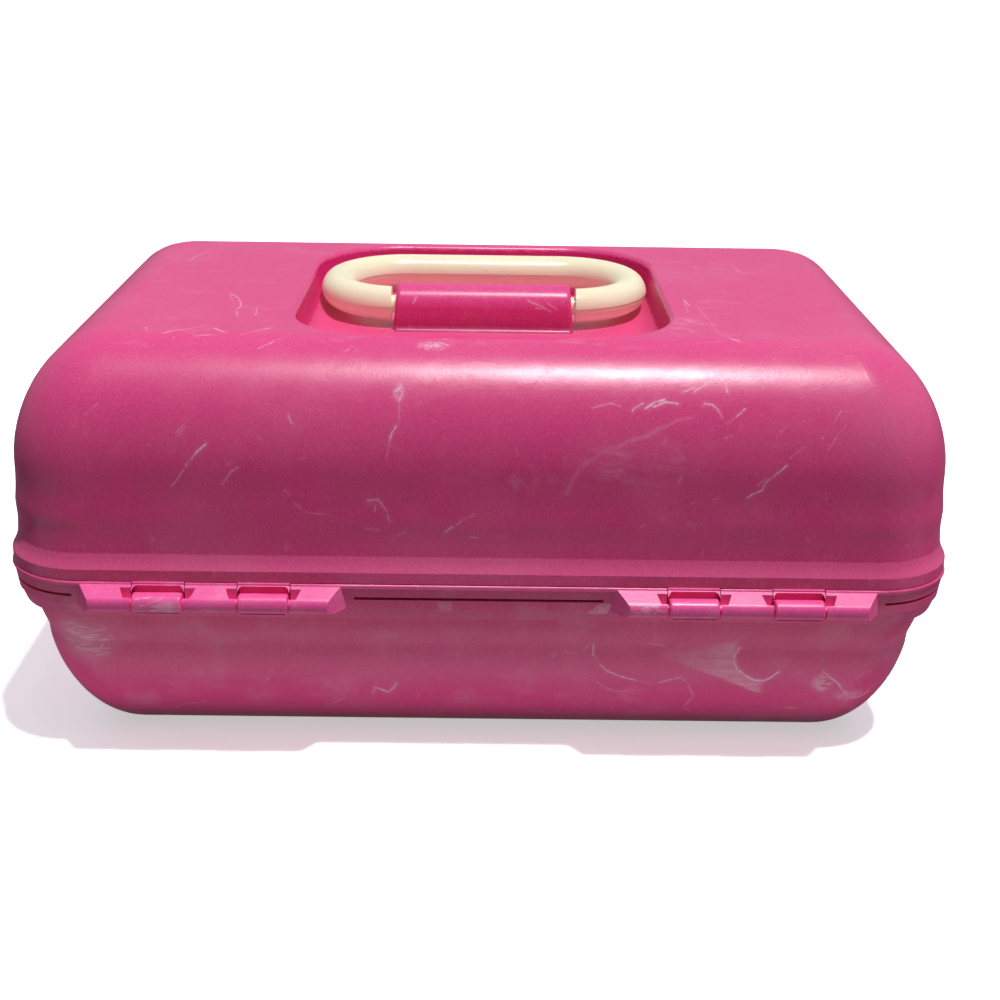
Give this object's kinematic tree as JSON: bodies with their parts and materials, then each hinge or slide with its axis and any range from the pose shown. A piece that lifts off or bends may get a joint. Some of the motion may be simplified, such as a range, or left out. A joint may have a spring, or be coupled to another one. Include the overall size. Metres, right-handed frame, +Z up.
{
  "type": "makeup storage case with handle",
  "caption": "Moulded plastic vanity case with a deep domed lid on rear snap hinges, a folding bail handle in a top well, a front clasp and an inner tray.",
  "frame": {"origin": "centre of the case's footprint on the surface it stands on", "axes": "+Z up, X across the case's width, front with the clasp towards -Y, hinges towards +Y"},
  "size_m": [0.331, 0.23, 0.1493],
  "materials": {
    "case_pink": "pink moulded polypropylene, satin gloss with scuffs and rubbed white marks",
    "trim_cream": "aged cream plastic, satin gloss",
    "pin_steel": "plain drawn wire",
    "tray_plastic": "cream moulded plastic",
    "link_plastic": "cream nylon",
    "rivet_plastic": "nylon",
    "frame_plastic": "pink moulded plastic",
    "mirror_glass": "silvered glass",
    "foam": "white adhesive foam",
    "screw_steel": "zinc plated, cross recess"
  },
  "bodies": {
    "base": {"base_shell": "case_pink", "base_link_rivets": "rivet_plastic"},
    "lid": {"lid_shell": "case_pink", "handle_sleeve": "case_pink", "clasp_cheeks": "case_pink", "latch_pin": "pin_steel", "tray_lid_rivets": "rivet_plastic", "mirror_frame": "frame_plastic", "mirror_glass": "mirror_glass", "mirror_pads": "foam", "mirror_screws": "screw_steel"},
    "handle": {"handle_upper": "trim_cream", "handle_lower": "trim_cream"},
    "latch": {"latch": "trim_cream"},
    "tray": {"tray": "tray_plastic", "tray_link_rivets": "rivet_plastic"},
    "link_left": {"link_left": "link_plastic"},
    "link_right": {"link_right": "link_plastic"}
  },
  "joints": [
    {"name": "lid_hinge", "type": "hinge", "parent": "base", "child": "lid", "pos_m": [0, 0.1115, 0.0632], "axis": [-1, 0, 0], "range_deg": [0, 95]},
    {"name": "handle_pivot", "type": "hinge", "parent": "lid", "child": "handle", "pos_m": [0, 0.0055, 0.1413], "axis": [-1, 0, 0], "range_deg": [0, 180]},
    {"name": "latch_pivot", "type": "hinge", "parent": "lid", "child": "latch", "pos_m": [0, -0.1118, 0.0789], "axis": [-1, 0, 0], "range_deg": [0, 110]},
    {"name": "tray_pivot", "type": "hinge", "parent": "lid", "child": "tray", "pos_m": [0, 0.054, 0.0849], "axis": [-1, 0, 0], "range_deg": [-95, 0]},
    {"name": "link_left_pivot", "type": "hinge", "parent": "base", "child": "link_left", "pos_m": [0.152, 0.0375, 0.0617], "axis": [-1, 0, 0], "range_deg": [0, 95]},
    {"name": "link_right_pivot", "type": "hinge", "parent": "base", "child": "link_right", "pos_m": [-0.152, 0.0375, 0.0617], "axis": [-1, 0, 0], "range_deg": [0, 95]}
  ],
  "couplings": [
    {"joint": "tray_pivot", "follows": "lid_hinge", "ratio": -1},
    {"joint": "link_left_pivot", "follows": "lid_hinge", "ratio": 1},
    {"joint": "link_right_pivot", "follows": "lid_hinge", "ratio": 1}
  ]
}
